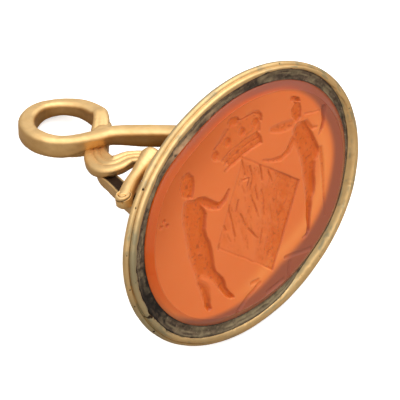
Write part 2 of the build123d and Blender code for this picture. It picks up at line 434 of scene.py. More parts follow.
bezel = {
    "columns": 1000,     # points round the oval
    "bandTop": -0.40,
    "bandBottom": -1.02,
    "bandRounding": 0.27,
    "backInset": 0.55,   # of the back from the band's outside
    "backReach": 10.1,   # depth of the back's middle
    "wall": 0.55,
    "seamDepth": 0.22,
    "seamWidth": 0.07,
    "seamBelow": 0.05,   # the band's top
    "seamWorn": 0.12,    # what is left of its depth where it is worn away
    "chipDepth": 0.30,   # as a share of the lip's width
    "slopeDrop": 0.12,   # from the lip's edge to the slope's foot
    "slopeRoughness": 0.035,
    "wallLevels": (-0.45, -0.8, -1.3),
    "dent": 0.02,
    "pitDepth": 0.04,
    # where the lip starts and stops, as insets round the oval: (angle in degrees, inset)
    "lipOuter": [(-180, 0.34), (-160, 0.42), (-140, 0.34), (-120, 0.40), (-60, 0.50), (0, 0.42),
                 (40, 0.26), (80, 0.22), (120, 0.22), (150, 0.28)],
    "lipInner": [(-180, 0.88), (-170, 0.87), (-160, 0.92), (-147, 0.84), (-135, 0.80), (-126, 0.90),
                 (-118, 0.98), (-109, 1.10), (-99, 1.14), (-90, 1.20), (-80, 1.30), (-70, 1.42),
                 (-62, 1.42), (-50, 1.20), (-30, 1.00), (0, 0.94), (20, 0.88), (30, 0.78), (38, 0.66),
                 (46, 0.55), (56, 0.48), (68, 0.51), (78, 0.66), (86, 0.78), (96, 0.69), (105, 0.78),
                 (112, 0.78), (120, 0.63), (126, 0.67), (135, 0.79), (150, 0.88), (165, 0.90)],
    # and where the worn slope inside it meets the bedding
    "slopeFoot": [(-180, 0.91), (-170, 0.90), (-160, 0.95), (-147, 0.87), (-135, 0.84), (-126, 0.93),
                  (-118, 1.01), (-109, 1.13), (-99, 1.18), (-90, 1.24), (-80, 1.34), (-74, 1.46),
                  (-67, 1.84), (-60, 1.90), (-53, 1.82), (-45, 1.74), (-38, 1.66), (-28, 1.76),
                  (-14, 1.74), (-5, 1.52), (4, 1.36), (10, 1.22), (17, 1.06), (25, 0.94), (33, 0.81),
                  (40, 0.68), (48, 0.58), (58, 0.51), (68, 0.54), (78, 0.69), (86, 0.81), (96, 0.72),
                  (105, 0.81), (112, 0.81), (120, 0.66), (127, 0.70), (136, 0.82), (150, 0.91),
                  (165, 0.93)],
    # back from the band to the middle: (size of the oval, depth), as shares
    "backShape": [(1.0, 0.0), (0.95, 0.08), (0.83, 0.18), (0.69, 0.32), (0.565, 0.48), (0.46, 0.64),
                  (0.37, 0.77), (0.26, 0.90), (0.12, 0.975), (0.03, 1.0)],
    # the seam's section: (inset from the lip in seam widths, share of its depth, grime)
    "seamRows": [(-1.5, 0.2, 0.3), (-0.8, 1.0, 1.0), (-0.1, 1.0, 1.0), (0.4, 0.3, 0.6)],
    # the lip's section: (share of its width, height, grime)
    "lipRows": [(0.0, -0.30, 0.3), (0.03, -0.16, 0.05), (0.10, -0.06, 0), (0.22, -0.01, 0),
                (0.38, 0.0, 0), (0.54, 0.0, 0), (0.70, -0.01, 0), (0.84, -0.03, 0.02),
                (0.94, -0.06, 0.05), (1.0, -0.10, 0.1)],
    # the worn slope's section: (share of its width, grime)
    "slopeRows": [(0.3, 0.0), (0.6, 0.05), (0.9, 0.20), (1.0, 0.7)],
    # places where the lip's inner edge is bitten away: (angle, spread in degrees, depth as a share)
    "bites": [(-163, 1.6, 0.75), (-147, 1.0, 0.35), (-158, 0.8, 0.3), (70, 1.3, 0.4), (132, 1.5, 0.3),
              (104, 2.0, 0.3)],
    # little dark pits in the gold: (angle, inset in mm, radius in mm)
    "pits": [(-178.2, 0.15, 0.09), (-169.4, 0.06, 0.10), (-151.6, 0.12, 0.12), (-161.4, 0.58, 0.22),
             (-160.4, 0.80, 0.24), (166.0, 0.10, 0.06), (178.5, 0.55, 0.06), (139.0, 0.14, 0.12),
             (146.5, 0.08, 0.09), (12.0, 0.70, 0.07), (-24.0, 0.66, 0.08), (-58.0, 0.92, 0.07),
             (62.0, 0.12, 0.07)],
    # patches round the oval: (angle, spread in degrees, power of their falling off)
    "openSeam": (148, 32, 4),
    "oliveLip": (171, 17, 2),
    "oliveLeft": (-157, 16, 2),
    "oliveSlope": (-66, 30, 2),
    # the band's low edge round the top of the oval is painted olive as shade
    "shadedBandLow": (88, 42, 4),
    "brownBottom": (-122, 20, 2),
}


# Rows of the back from its pole up to the band: the oval made smaller by the back's shape, and
# moved in by a wall at its sides that thins out towards the pole
def backSurface(angle, count, wallBehind, wallAround, lift):
    reach = bezel["backReach"] - wallBehind + bezel["bandBottom"]
    rows = []
    for share, depth in smoothThrough(bezel["backShape"][::-1], count):
        less = bezel["backInset"] * share + wallAround * min(1, share * 6)
        row = ovalPoints(0, 0, angle) * share
        row -= less * np.stack([np.cos(angle), np.sin(angle), 0 * angle], -1)
        row[:, 2] = bezel["bandBottom"] - reach * depth + lift
        rows.append(row)
    return rows


# Rows of (points, grime, part) from one profile: back, band, seam, lip, worn slope, inner wall
# and inner back. The seam's depth, the lip's chips and its bites go by noise along the oval.
def bezelRows(angle):
    degrees = np.degrees(angle)
    line = ovalPoints(0, 0, angle)
    outer, inner, slope = (roundTable(bezel[key], angle) for key in ("lipOuter", "lipInner", "slopeFoot"))
    rows = [(row, 0.10, "back") for row in backSurface(angle, 36, 0, 0, 0)]
    r = bezel["bandRounding"]
    for inset, height in np.concatenate([
            arcPoints(r, bezel["bandBottom"] + r, r, 270, 180, 10),
            arcPoints(r, bezel["bandTop"] - r, r, 180, 90, 12)]):
        rows.append((ovalPoints(inset, height, angle), 0, "band"))
    # the seam is open on the upper left and worn away lower down
    hollows = softNoise(line, 0.55)
    opened = bezel["seamWorn"] + (1 - bezel["seamWorn"]) * patchAt(degrees, *bezel["openSeam"])
    depth = bezel["seamDepth"] * (1 + 0.9 * np.clip(hollows, 0, 1)) * opened
    dirtAndShade = np.clip(0.75 + 0.5 * hollows, 0, 1) * opened
    for shift, drop, share in bezel["seamRows"]:
        height = bezel["bandTop"] - bezel["seamBelow"] - drop * depth
        rows.append((ovalPoints(outer + bezel["seamWidth"] * shift, height, angle), share * dirtAndShade, "seam"))
    chips = np.clip(softNoise(line, 0.8, 3.3) - 0.25, 0, 1)
    chips += 0.8 * np.clip(softNoise(line, 0.35, 5.1) - 0.45, 0, 1)
    bite = sum(deep * patchAt(degrees, at, spread) for at, spread, deep in bezel["bites"])
    lost = (bezel["chipDepth"] * chips + bite) * (inner - outer)
    for share, height, dirtAndShade in bezel["lipRows"]:
        inset = outer + share * (inner - outer) - lost * share ** 5
        row = ovalPoints(inset, height - 0.06 * chips * share ** 3, angle)
        rows.append((row, dirtAndShade + 0.4 * chips * share ** 4, "lip"))
    drop = 0.10 + 0.05 * np.clip((slope - inner) / 0.3, 0, 1)
    for share, dirtAndShade in bezel["slopeRows"]:
        rough = bezel["slopeRoughness"] * softNoise(line, 0.5, 2.0 + share) * math.sin(math.pi * share)
        inset = inner - lost * (1 - share) + share * (slope - inner)
        row = ovalPoints(inset, -drop - share * bezel["slopeDrop"] + rough, angle)
        rows.append((row, np.maximum(dirtAndShade, np.clip(2 * bite, 0, 1)), "slope"))
    for height in bezel["wallLevels"]:
        rows.append((ovalPoints(slope + 0.03, height, angle), 0.9, "wall"))
    wall = bezel["wall"]
    return rows + [(row, 0.9, "back") for row in backSurface(angle, 12, wall, wall, -0.05)[::-1]]


# Olive and brown patina: the patches of the bezel's table on the parts that they name, broken up
# by noise, with streaks round the rim, and a painted shade in olive low on the band round the top of the oval
def bezelPatinaAndShade(points, kinds, top, angle):
    degrees = np.degrees(angle)
    oliveLip, oliveLeft, oliveSlope, shadedBandLow, brownBottom = (
        patchAt(degrees, *bezel[key])
        for key in ("oliveLip", "oliveLeft", "oliveSlope", "shadedBandLow", "brownBottom"))
    lip, slope, band = (kinds == kind for kind in ("lip", "slope", "band"))
    level = points[..., 2]
    radius = np.linalg.norm(points[..., :2], axis=-1)
    patches = 0.5 + 0.5 * softNoise(points, 1.6, 4.4)
    streaks = streakNoise(degrees, radius * 5.5 + level * 5, 7, 6.6)
    fine = streakNoise(degrees, radius * 9 + level * 9, 2.2, 3.1)
    streaks = np.clip(1.6 * streaks + 0.9 * fine - 0.1, 0, 1) * top
    olivePatinaAndShade = oliveLeft * top * (0.55 + 0.45 * patches) + slope * (0.15 + 0.25 * oliveSlope) + 0.75 * streaks
    olivePatinaAndShade = np.clip(olivePatinaAndShade + oliveLip * lip + 0.3 * band * patches, 0, 1)
    # painted shade in olive low on the band round the top of the oval
    low = band * np.clip((-0.52 - level) / 0.25, 0, 1)
    olivePatinaAndShade = np.maximum(olivePatinaAndShade, 0.9 * shadedBandLow * low)
    olivePatinaAndShade = np.maximum(olivePatinaAndShade, 0.55 * brownBottom * top * patches)
    brownPatinaAndShade = (0.45 * brownBottom * top * (1 - patches) + 0.30 * band * patches ** 2
             + 0.15 * slope * np.clip(np.cos(angle - 0.3), 0, 1))
    return olivePatinaAndShade, brownPatinaAndShade


# The rows stacked to one surface, dented by broad noise and pitted
def makeBezel():
    angle = np.linspace(-math.pi, math.pi, bezel["columns"], endpoint=False)
    rows = bezelRows(angle)
    points = np.stack([row for row, dirtAndShade, kind in rows])
    grimeAndShade = np.stack([dirtAndShade + 0 * angle for row, dirtAndShade, kind in rows])
    kinds = np.array([kind for row, dirtAndShade, kind in rows])[:, None]
    points[..., 2] += bezel["dent"] * softNoise(points, 3.1)
    points[..., :2] *= 1 - 0.0020 * np.clip(softNoise(points, 1.3, 2.0), 0, 1)[..., None]
    top = (kinds != "back") & (kinds != "wall")
    olivePatinaAndShade, brownPatinaAndShade = bezelPatinaAndShade(points, kinds, top, angle)
    for at, inset, radius in bezel["pits"]:
        spot = ovalPoints(inset, 0, np.radians(at))[:2]
        off = np.linalg.norm(points[..., :2] - spot, axis=-1)
        hole = np.exp(-(off / radius) ** 4) * top * (points[..., 2] > -0.5)
        grimeAndShade = np.maximum(grimeAndShade, hole)
        points[..., 2] -= bezel["pitDepth"] * hole
    return surfaceFromGrid("gold_bezel", points, {"grimeAndShade": grimeAndShade, "olivePatinaAndShade": olivePatinaAndShade, "brownPatinaAndShade": brownPatinaAndShade}, goldFinish)


goldBezel = makeBezel()
print("bezel and back built")

# Bedding between the stone and the lip, filling the back behind the stone

bedding = {
    "columns": 900,
    "top": -0.14,
    "foot": -0.31,
    "roughness": 0.09,
    "sunk": 0.08,       # in the middle between gold and stone
    "lower": 0.16,      # where the gold's slope is wide
    "gold": 0.03,       # how far it reaches under the gold
    "gap": 0.05,        # between it and the stone's floor or the inner back
    # patches round the oval: (angle, spread in degrees)
    "dark": (-165, 17),
    "worn": (-88, 30),
    # pale lumps that spill over the stone's edge: (angle, spread, share)
    "spills": [(118, 7, 1.0), (99, 3, 0.5)],
}
stone = {
    "edge": 1.82,        # mean inset of its edge from the bezel's outside
    "bevelWidth": 0.75,
    "bevelFoot": -0.30,  # level where the bevel ends
    "face": 0.15,        # level of the face
    "thickness": 2.2,
    "girdle": 0.5,
    "cells": 281,        # points along each side of the face's grid
    # where its edge shows, as insets of the bezel's oval: (angle in degrees, inset)
    "outline": [(-180, 2.07), (-165, 2.05), (-150, 2.01), (-138, 1.94), (-128, 1.89), (-115, 1.92),
                (-100, 1.98), (-88, 1.97), (-75, 1.93), (-60, 1.92), (-50, 1.83), (-40, 1.72),
                (-33, 1.76), (-25, 1.85), (-16, 1.89), (-6, 1.80), (6, 1.72), (15, 1.65), (24, 1.63),
                (34, 1.54), (45, 1.51), (60, 1.53), (75, 1.63), (90, 1.67), (100, 1.78), (110, 1.88),
                (118, 1.86), (125, 1.63), (136, 1.52), (148, 1.72), (158, 1.90), (168, 2.00)],
    # how far the painted shade of the rim reaches in from its edge: (angle in degrees, mm)
    "rimShade": [(-180, 0.0), (-150, 0.25), (-130, 0.8), (-115, 1.3), (-95, 1.9), (-75, 2.6), (-60, 2.5),
                 (-40, 2.4), (-20, 2.2), (0, 1.9), (20, 1.7), (35, 1.2), (50, 0.8), (70, 0.6), (90, 0.45),
                 (112, 0.42), (128, 0.20), (142, 0.0), (180, 0.0)],
    # how strongly the colour deepens towards the rim: (angle in degrees, share)
    "deepRim": [(-180, 0.35), (-150, 0.15), (-120, 0.0), (20, 0.0), (60, 0.15), (80, 0.4), (100, 0.7),
                (130, 0.9), (150, 0.85), (168, 0.55)],
    # the bevel is worn flatter round one angle, and a painted glow lies on the edge round another: (angle,
    # spread, share)
    "flatBevel": (125, 42, 0.6),
    "glowEdge": (-143, 26, 0.80),
}


# Rows from the floor behind the stone, up round its edge, out to the gold and down the inner back.
# The strip that shows runs straight from gold to stone, sunk in an arch and roughened by noise.
def makeBeddingFill():
    angle = np.linspace(-math.pi, math.pi, bedding["columns"], endpoint=False)
    degrees = np.degrees(angle)
    inner = roundTable(bezel["slopeFoot"], angle) - bedding["gold"]
    outline = roundTable(stone["outline"], angle)
    foot = ovalPoints(outline + 0.04, bedding["foot"], angle)
    # where the worn gold slope runs down to the stone, the bedding lies lower and is thin
    wide = np.clip((inner - roundTable(bezel["lipInner"], angle)) / 0.3, 0, 1)
    wall = ovalPoints(inner, bedding["top"] - bedding["lower"] * wide, angle)
    share = np.linspace(0, 1, 22)[:, None]
    strip = wall * (1 - share[..., None]) + foot * share[..., None]
    lumps = softNoise(strip, 0.42) + 0.7 * softNoise(strip, 0.2, 5.0)
    sunk = (bedding["roughness"] * (lumps - 0.35) - bedding["sunk"]) * np.sin(np.pi * share)
    strip[..., 2] += sunk * np.clip((outline - inner) / 0.5, 0, 1)
    gap = bedding["gap"]
    bottom = stone["face"] - stone["thickness"] - gap
    rows = [ovalPoints(0, 0, angle) * size * 0.84 + np.array([0, 0, bottom]) for size in (0.02, 0.5, 0.95)]
    rows.append(ovalPoints(outline + 0.02, bottom + 0.5, angle))
    before = len(rows)
    rows.extend(strip[::-1])
    rows.append(ovalPoints(inner + 0.08, -0.7, angle))
    rows.append(ovalPoints(1.05, bezel["bandBottom"], angle))
    rows += backSurface(angle, 16, bezel["wall"] + gap, bezel["wall"] + 2 * gap, gap)[::-1][1:]
    edges = np.clip(1 - share / 0.16, 0, 1) + np.clip((share - 0.86) / 0.14, 0, 1)
    blots = np.clip(softNoise(strip, 0.5, 3.0) * 1.6, 0, 1) + 0.4 * np.clip(softNoise(strip, 0.2, 7.0), 0, 1)
    bands = np.clip(1.5 * streakNoise(degrees, share * 7, 6, 2.2), -1, 1)
    dark = patchAt(degrees, *bedding["dark"]) * (0.75 + 0.5 * blots)
    grimeAndShade = np.clip(0.85 * edges + dark + 0.35 * blots ** 2, 0, 1)
    grimeAndShade = np.clip(grimeAndShade + 0.4 * np.clip(-bands, 0, 1), 0, 1)
    worn = 0.45 * patchAt(degrees, *bedding["worn"]) + 0.70 * np.clip(bands, 0, 1)
    spill = sum(part * patchAt(degrees, at, spread) for at, spread, part in bedding["spills"])
    lump = spill * np.clip(3 * softNoise(strip, 0.35, 5.5) + 1.3, 0, 1) * np.clip((share - 0.35) / 0.25, 0, 1)
    marks = {}
    for key, values in (("grimeAndShade", grimeAndShade), ("worn", worn), ("lump", lump)):
        marks[key] = np.zeros((len(rows), len(angle)))
        marks[key][before:before + len(strip)] = values[::-1]
    return surfaceFromGrid("bedding_fill", np.stack(rows), marks, beddingFinish)


beddingFill = makeBeddingFill()
print("bedding built")

# Stone: the flat face is a square grid stretched onto the oval, x = u * sqrt(1 - v * v / 2) and
# y = v * sqrt(1 - u * u / 2), with the engraving sunk in it. Rings carry it on over the bevel and down.

device = {
    "right": 0.83,     # its middle from the stone's
    "down": 1.24,
    "turn": 4.7,       # in degrees
    "depth": 0.26,     # of the deepest cut
    "halfWide": 5.2,   # of the lozenge-shaped shield
    "halfTall": 6.2,
    "acrossEdge": 3.98,  # from the shield's middle to its edge, square to the edge
    "wobble": 0.05,
    # cuts by a distance: (depth as a share of the full one, softness of the slope)
    "field": (0.42, 0.18),
    "border": (0.62, 0.10),
    # strokes: (half width, depth, softness)
    "faceLine": (0.12, 0.10, 0.12),
    "fineStroke": (0.06, 0.38, 0.09),
    "shieldStroke": (0.10, 0.55, 0.12),
    "crownLine": (0.07, 0.85, 0.10),
    "groundStroke": (0.24, 0.40, 0.30),
    "armSoftness": 0.4,
    # discs: (radius, depth or height, softness)
    "pit": (0.2, 0.45, 0.16),
    "curl": (0.26, 0.16, 0.2),
    # the crown's balls: (radius, depth, how far they lean, softness)
    "ball": (0.52, 0.85, 0.4, 0.4),
    # what noise adds, as shares of the full depth
    "chasing": 0.16,
    "grain": 0.07,
    "folds": 0.07,
    "muscle": 0.20,
    # the fine strokes: how many, lowest and highest start, lean and its spread, shortest and longest
    "fineStrokes": (70, (-3.6, -4.2), (3.4, 4.6), (0.12, 0.30), (0.35, 1.1)),
}


# Distance from places to a bent line with round ends, less its half width
def strokeDistance(place, line, half):
    best = np.full(place.shape[:-1], 1e3)
    line = np.asarray(line, float)
    halves = np.broadcast_to(np.asarray(half, float), len(line))
    for start, end, r0, r1 in zip(line, line[1:], halves, halves[1:]):
        run = end - start
        part = np.clip(((place - start) @ run) / (run @ run), 0, 1)
        near = np.linalg.norm(place - start - part[..., None] * run, axis=-1)
        best = np.minimum(best, near - (r0 + part * (r1 - r0)))
    return best


# Distance from places to a disc's edge, negative inside it
def discDistance(place, centre, radius):
    return np.linalg.norm(place - np.array(centre), axis=-1) - radius


# How deep a cut of that outline goes: a rounded floor reached a little way in from its edge
def cutDepth(distance, deep, slope):
    share = np.clip(-distance / slope, 0, 1)
    return deep * (1 - (1 - share) ** 2)


# Outlines of the engraving, in the device's own axes
leftBody = [
    (-6.12, 6.03), (-5.54, 5.50), (-5.28, 4.34), (-5.21, 3.75), (-5.53, 3.11), (-5.77, 2.52),
    (-5.76, 1.75), (-5.67, 1.03), (-5.68, 0.16), (-5.75, -0.66), (-5.84, -1.37), (-5.80, -2.06),
    (-5.53, -2.59), (-5.30, -3.08), (-5.23, -3.69), (-5.22, -4.25), (-5.02, -4.84), (-4.76, -5.42),
    (-4.70, -5.85), (-5.20, -5.65), (-5.57, -5.21), (-5.94, -4.38), (-6.34, -3.64), (-6.70, -2.77),
    (-7.04, -2.25), (-7.40, -1.81), (-7.09, -2.43), (-6.87, -3.14), (-7.04, -3.90), (-7.28, -4.49),
    (-7.35, -5.11), (-7.78, -5.12), (-8.08, -4.46), (-8.07, -4.02), (-8.21, -3.26), (-8.27, -2.44),
    (-8.26, -1.79), (-8.27, -1.01), (-8.35, -0.07), (-8.38, 1.04), (-8.36, 2.12), (-8.23, 3.12),
    (-8.16, 4.15), (-7.99, 5.11), (-7.72, 5.99), (-7.33, 6.47), (-6.85, 6.44),
]
leftHead = [
    (-6.80, 8.86), (-5.99, 8.84), (-5.60, 8.13), (-5.66, 7.32), (-5.93, 6.65), (-6.24, 6.22),
    (-6.88, 6.40), (-7.38, 7.05), (-7.42, 8.02),
]
rightBody = [
    (6.47, 5.37), (7.47, 4.89), (7.62, 4.13), (7.75, 3.49), (7.96, 2.69), (8.09, 2.06),
    (8.20, 1.33), (8.09, 0.96), (7.75, 0.66), (7.41, 0.57), (7.20, 0.07), (6.90, -0.71),
    (6.72, -1.57), (6.45, -2.26), (6.00, -2.71), (5.74, -3.40), (5.42, -4.06), (5.15, -4.75),
    (4.91, -5.36), (4.49, -5.71), (3.86, -5.70), (3.82, -5.39), (4.36, -5.29), (4.65, -4.72),
    (4.76, -3.91), (4.98, -3.18), (5.19, -2.23), (5.30, -1.21), (5.46, -0.23), (5.62, 0.75),
    (5.68, 1.81), (5.63, 2.71), (5.42, 3.51), (5.43, 4.16), (5.56, 4.83), (5.93, 5.22),
]
rightHead = [
    (6.35, 7.73), (6.64, 7.21), (6.11, 6.93), (6.06, 6.10), (6.04, 5.41), (6.45, 5.28),
    (7.02, 5.53), (7.31, 6.30), (7.31, 6.95),
]
rightCap = [
    (6.34, 8.11), (6.86, 7.97), (7.35, 7.51), (7.39, 7.00), (6.77, 7.22), (6.27, 7.68),
]
crownBand = [
    (-2.54, 6.05), (-1.79, 6.49), (-2.40, 7.35), (-1.19, 7.67), (0.03, 7.61), (1.24, 7.51),
    (2.09, 7.45), (2.38, 6.76), (2.35, 6.02), (1.08, 6.16), (-0.28, 6.16), (-1.41, 6.11),
]
crownUpper = [
    (-2.27, 7.36), (-1.09, 7.60), (1.24, 7.51), (2.41, 7.27), (2.65, 8.07), (3.04, 8.34),
    (3.04, 8.77), (2.76, 9.28), (2.35, 9.59), (1.77, 9.71), (1.28, 9.73), (0.65, 9.69),
    (0.17, 10.14), (-0.29, 10.25), (-0.78, 9.85), (-1.23, 10.00), (-1.99, 9.53), (-2.99, 9.06),
    (-3.30, 8.42), (-2.90, 7.71),
]
# arms and other narrow cuts: (line, its half width at each point, depth)
arms = [
    ([(-5.92, 5.45), (-5.18, 5.08), (-4.57, 4.26), (-3.78, 3.58), (-3.11, 3.75), (-2.39, 4.31)],
     (0.50, 0.46, 0.42, 0.36, 0.30, 0.18), 0.9),
    ([(5.58, 4.05), (4.77, 3.43), (3.85, 3.28), (2.64, 3.86), (1.95, 4.47)],
     (0.42, 0.36, 0.30, 0.22, 0.14), 0.55),
    ([(5.80, 5.64), (4.67, 6.05), (3.57, 6.56)], (0.50, 0.60, 0.35), 0.35),
    ([(7.41, 4.71), (7.87, 3.68), (8.33, 3.52)], (0.30, 0.24, 0.16), 0.6),
    ([(7.52, 5.50), (8.29, 5.12), (8.97, 4.86)], (0.16, 0.14, 0.12), 0.45),
    ([(9.59, 4.81), (9.25, 3.63), (8.83, 3.06), (8.41, 2.70)], (0.30, 0.24, 0.22, 0.10), 0.9),
    ([(8.20, 1.33), (7.96, -0.37), (7.53, -2.27), (6.84, -5.09)], (0.30, 0.26, 0.20, 0.10), 0.45),
]
shieldStrokes = [
    [(-2.74, 2.94), (-2.96, 2.22), (-2.89, 1.20), (-2.96, -0.28)],
    [(0.40, 4.92), (0.34, 3.66), (-0.19, 2.74)],
    [(-0.22, 2.21), (-0.06, 0.24)],
    [(1.50, 4.24), (1.31, 2.75)],
    [(0.94, 1.92), (0.98, 0.80), (0.58, -0.55)],
    [(0.40, 2.64), (0.36, 1.25)],
    [(-0.21, 6.00), (-0.30, 4.45)],
    [(-0.64, 4.15), (0.03, 3.88), (-0.39, 3.31)],
    [(-3.82, 1.43), (-3.72, 0.92)],
    [(2.20, 3.20), (2.32, 1.92)],
    [(2.93, 1.04), (2.22, -0.09)],
    [(3.94, -0.24), (2.92, -1.15)],
    [(-1.69, 2.72), (-2.21, 1.80)],
    [(-1.42, -0.53), (-0.66, -2.18)],
    [(-1.86, 1.32), (-1.57, -0.20)],
    [(1.47, -0.10), (1.22, -1.79)],
    [(0.02, -1.58), (-0.59, -2.79)],
    [(0.53, -3.27), (-0.11, -4.57)],
    [(-4.81, 0.18), (-5.08, -0.28)],
    [(2.34, -1.83), (1.57, -3.15)],
]
groundStrokes = [
    [(-1.71, -6.38), (-3.26, -6.70), (-4.83, -7.32)],
    [(0.82, -7.82), (-1.19, -7.78)],
    [(1.63, -5.96), (2.99, -6.51), (4.47, -7.08)],
    [(1.91, -6.72), (1.45, -7.84)],
    [(-2.50, -5.82), (-1.80, -6.00)],
]
crownLines = [
    [(-2.35, 7.40), (-1.2, 7.68), (1.2, 7.52), (2.1, 7.42)],
    [(-2.35, 6.30), (-1.4, 6.35), (0.0, 6.38), (2.2, 6.25)],
    [(-2.2, 6.85), (-1.0, 7.0), (1.0, 6.95), (2.1, 6.8)],
    [(-2.9, 8.9), (-1.9, 9.1), (-0.9, 9.6), (0.0, 10.0), (1.0, 9.55), (2.2, 9.35), (2.9, 8.7), (2.8, 8.1)],
]
crownBalls = [(0.49, 8.52), (-1.28, 8.60), (-2.84, 8.31), (-0.34, 10.08), (0.04, 9.91), (2.11, 8.35)]
# raised curls of hair, as discs left standing in the cut of the heads
curls = [(-6.95, 7.35), (-7.02, 7.85), (-6.90, 8.30), (-6.55, 8.62), (-6.15, 8.70), (-5.82, 8.45),
         (-6.55, 8.15), (7.10, 6.75), (7.12, 6.30), (6.95, 5.85)]
faceLines = [
    [(-6.15, 7.88), (-5.88, 7.84)],
    [(-5.72, 7.62), (-5.60, 7.40)],
    [(-6.05, 7.12), (-5.84, 7.08)],
    [(6.24, 6.80), (6.46, 6.76)],
    [(6.22, 6.22), (6.42, 6.18)],
]
smallPits = [(1.81, 7.97), (-0.11, 6.20), (-9.55, 5.59), (-9.74, 6.16), (-10.20, 5.85)]
# what is cut from an outline: (outline, depth, how far it leans, how soft its slope is)
carvedShapes = [
    (crownUpper, 0.42, 0.5, 0.35),
    (crownBand, 0.66, 0.4, 0.25),
    (leftBody, 1.0, 0.8, 0.95),
    (leftHead, 0.95, 0.25, 0.36),
    (rightBody, 1.0, 0.6, 0.75),
    (rightHead, 0.95, 0.3, 0.38),
    (rightCap, 0.9, 0.4, 0.3),
]


# Signed distance to a closed outline: nearest edge, negative inside by counting crossings
def outlineDistance(place, outline):
    outline = np.asarray(outline, float)
    best = np.full(place.shape[:-1], 1e3)
    inside = np.zeros(place.shape[:-1], bool)
    for start, end in zip(outline, np.roll(outline, -1, 0)):
        run = end - start
        part = np.clip(((place - start) @ run) / (run @ run), 0, 1)
        best = np.minimum(best, np.linalg.norm(place - start - part[..., None] * run, axis=-1))
        crosses = (start[1] > place[..., 1]) != (end[1] > place[..., 1])
        at = start[0] + (place[..., 1] - start[1]) / (end[1] - start[1] + 1e-9) * run[0]
        inside ^= crosses & (place[..., 0] < at)
    return np.where(inside, -best, best)


# A cut that is steep and deep along its right side and runs out softly to the left: the slope
# and depth go by how far the place is from the same outline moved to the left
def leaningCut(place, outline, deep, lean, soft):
    distance = outlineDistance(place, outline)
    moved = outlineDistance(place + np.array([lean, -0.15 * lean]), outline)
    side = np.clip((moved + 0.3) / 0.9, 0, 1)
    side = side * side * (3 - 2 * side)
    return cutDepth(distance, deep * (0.60 + 0.40 * side), soft * (1 - 0.70 * side))


# Short seeded strokes, most of them upright, that fill the shield
def fineStrokes():
    dice = np.random.default_rng(5)
    count, low, high, leans, runs = device["fineStrokes"]
    start = dice.uniform(low, high, (count, 2))
    lean = dice.normal(*leans, count)
    run = dice.uniform(*runs, count)
    end = start + run[:, None] * np.stack([np.sin(lean), np.cos(lean)], -1)
    return np.stack([start, end], 1)


# Depth of the engraving, in shares of the full depth, at places in the device's own axes: the
# deepest of all cuts, with curls of hair left standing, face lines cut deeper, and folds, muscles and grain
# by noise
def engravedDepth(place):
    x, y = place[..., 0], place[..., 1]
    flat = np.stack([x, y, 0 * x], -1)
    place = place + device["wobble"] * np.stack([softNoise(flat, 0.9, 1.0), softNoise(flat, 0.9, 6.0)], -1)
    lozenge = np.abs(place[..., 0]) / device["halfWide"] + np.abs(place[..., 1]) / device["halfTall"] - 1
    lozenge *= device["acrossEdge"]
    rightSide = np.clip((x - 0.45 * y + 1.0) / 4.0, 0.15, 1)
    total = cutDepth(lozenge, *device["field"]) * rightSide
    border = cutDepth(np.abs(lozenge + 0.08) - 0.10, *device["border"]) * np.clip(rightSide, 0.35, 1)
    total = np.maximum(total, border)
    inside = np.clip(-lozenge / 0.5, 0, 1)
    chased = softNoise(flat * np.array([1.0, 0.42, 1.0]), 0.52, 8.0) + 0.5 * softNoise(flat, 0.33, 2.5)
    total = total + device["chasing"] * chased * inside
    half, *cut = device["fineStroke"]
    for line in fineStrokes():
        total = np.maximum(total, inside * cutDepth(strokeDistance(place, line, half), *cut))
    strokes = [(line, *device["shieldStroke"]) for line in shieldStrokes]
    strokes += [(line, *device["crownLine"]) for line in crownLines]
    strokes += [(line, half, deep, device["armSoftness"]) for line, half, deep in arms]
    for line, half, *cut in strokes:
        total = np.maximum(total, cutDepth(strokeDistance(place, line, half), *cut))
    radius, *cut = device["ball"]
    around = np.linspace(0, 2 * math.pi, 14)[:-1]
    circle = radius * np.stack([np.cos(around), np.sin(around)], -1)
    for outline, *cut in carvedShapes + [(ball + circle, *cut) for ball in np.array(crownBalls)]:
        total = np.maximum(total, leaningCut(place, outline, *cut))
    folds = np.sin(x * 4.2 + 1.4 * softNoise(flat, 1.6, 4.0) - 0.35 * y)
    muscle = softNoise(flat, 0.8, 2.0)
    deepPart = np.clip((total - 0.45) / 0.4, 0, 1) * (np.abs(x) > 4.6)
    radius, raised, soft = device["curl"]
    for curl in curls:
        total -= raised * np.clip(-discDistance(place, curl, radius) / soft, 0, 1)
    half, deeper, soft = device["faceLine"]
    for line in faceLines:
        total += deeper * np.clip(-strokeDistance(place, line, half) / soft, 0, 1)
    grain = softNoise(flat, 0.24, 3.7) + 0.7 * softNoise(flat, 0.13, 1.9)
    total = total + np.clip(total * 2, 0, 1) * device["grain"] * grain
    total = total - deepPart * (device["folds"] * folds * (y < 3.2) + device["muscle"] * muscle)
    half, *cut = device["groundStroke"]
    for line in groundStrokes:
        total = np.maximum(total, cutDepth(strokeDistance(place, line, half), *cut))
    radius, *cut = device["pit"]
    for pit in smallPits:
        total = np.maximum(total, cutDepth(discDistance(place, pit, radius), *cut))
    return np.clip(total, 0, 1)


